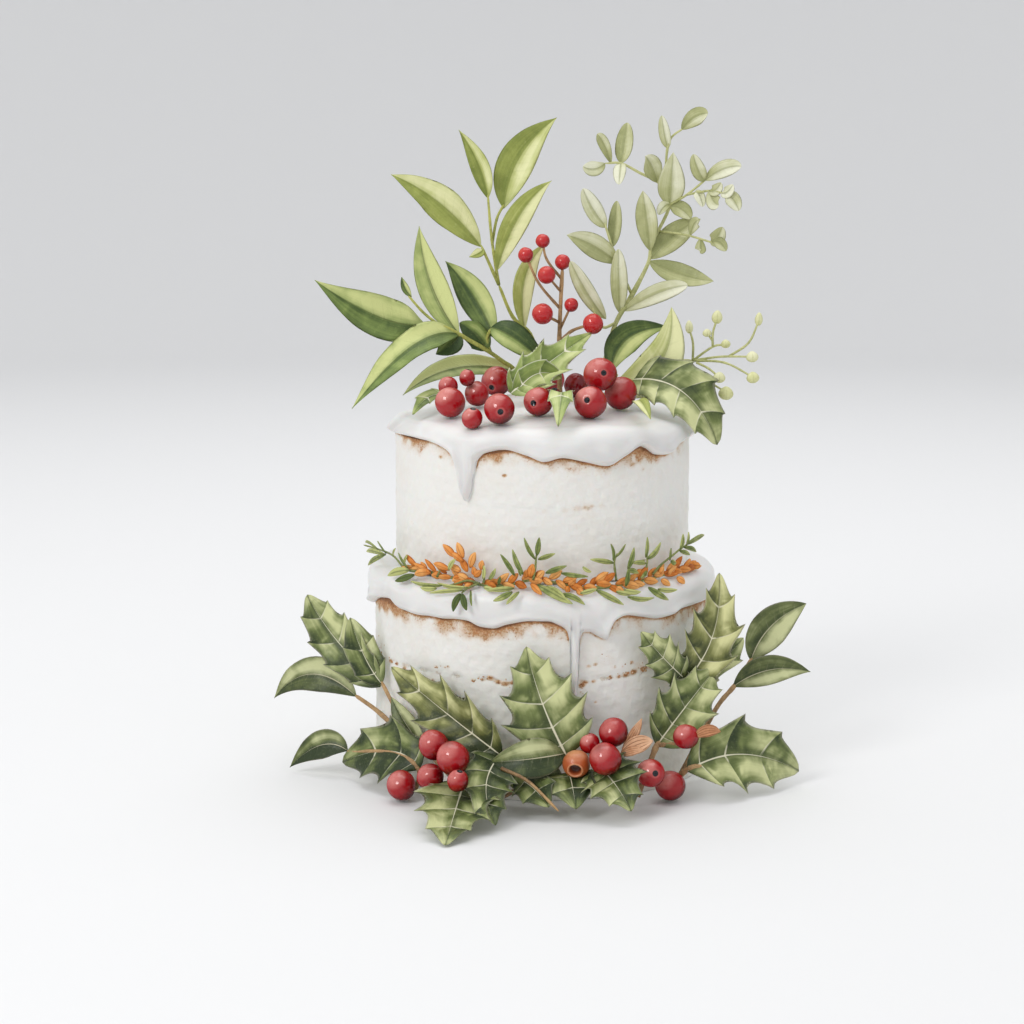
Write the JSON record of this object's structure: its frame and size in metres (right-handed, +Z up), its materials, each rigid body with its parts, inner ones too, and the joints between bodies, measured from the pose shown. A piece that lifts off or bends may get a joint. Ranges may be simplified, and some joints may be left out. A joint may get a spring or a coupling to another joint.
{
  "type": "berry cake",
  "caption": "Tiered layer cake with dripping white icing, red berries, holly leaves, leafy sprigs on top and a bud garland at the step",
  "frame": {"origin": "middle of the flat foot of the lower tier, on the surface the cake rests on", "axes": "+Z up, -Y to the front where the berries and the tall spray face, +X to the right seen from the front"},
  "size_m": [0.2722, 0.2629, 0.3315],
  "materials": {
    "sponge": "matt, dry baked sponge under a thin scrape of icing",
    "icing": "soft gloss, set icing",
    "berry": "gloss, firm berry skin",
    "dark_berry": "gloss, firm berry skin in shade",
    "hip": "satin, open rose hip",
    "leaf": "satin leaf",
    "spring_leaf": "satin young leaf",
    "pale_leaf": "matt pale leaf",
    "holly": "waxy leaf",
    "dried": "matt dried petal",
    "bud": "matt bud",
    "rosemary": "matt needle leaf"
  },
  "bodies": {
    "root": {"lower_layer_bottom": "sponge", "lower_layer_top": "sponge", "upper_layer_bottom": "sponge", "upper_layer_top": "sponge", "lower_icing": "icing", "upper_icing": "icing", "top_berry_01": "berry", "top_berry_02": "berry", "top_berry_03": "berry", "top_berry_04": "berry", "top_berry_05": "berry", "top_berry_06": "berry", "top_berry_07": "berry", "top_berry_08": "berry", "top_berry_09": "berry", "top_berry_10": "berry", "top_berry_12": "berry", "top_berry_14": "berry", "top_berry_15": "berry", "base_berry_01": "berry", "base_berry_02": "berry", "base_berry_03": "berry", "base_berry_04": "berry", "base_berry_05": "berry", "base_berry_06": "berry", "base_berry_07": "berry", "base_berry_08": "berry", "base_berry_09": "berry", "base_berry_10": "berry", "base_berry_11": "berry", "berry_sprig": "berry", "top_berry_11": "dark_berry", "top_berry_13": "dark_berry", "base_rose_hip": "hip", "long_leaf_branch": "leaf", "right_leaf_tip": "leaf", "centre_spray": "spring_leaf", "curled_leaves": "spring_leaf", "pale_spray": "pale_leaf", "bud_sprig": "pale_leaf", "centre_holly": "holly", "small_holly_leaf": "holly", "left_holly_tip": "holly", "right_holly": "holly", "base_left_branch": "holly", "base_left_low": "holly", "base_front_branch": "holly", "base_front_low": "holly", "base_right_tall": "holly", "base_right_smooth": "holly", "base_right_low": "holly", "back_left_sprig": "holly", "back_right_sprig": "holly", "dried_petals": "dried", "bud_garland_front": "bud", "bud_garland_back": "bud", "rosemary_1": "rosemary", "rosemary_2": "rosemary", "rosemary_3": "rosemary", "rosemary_4": "rosemary"}
  },
  "joints": []
}
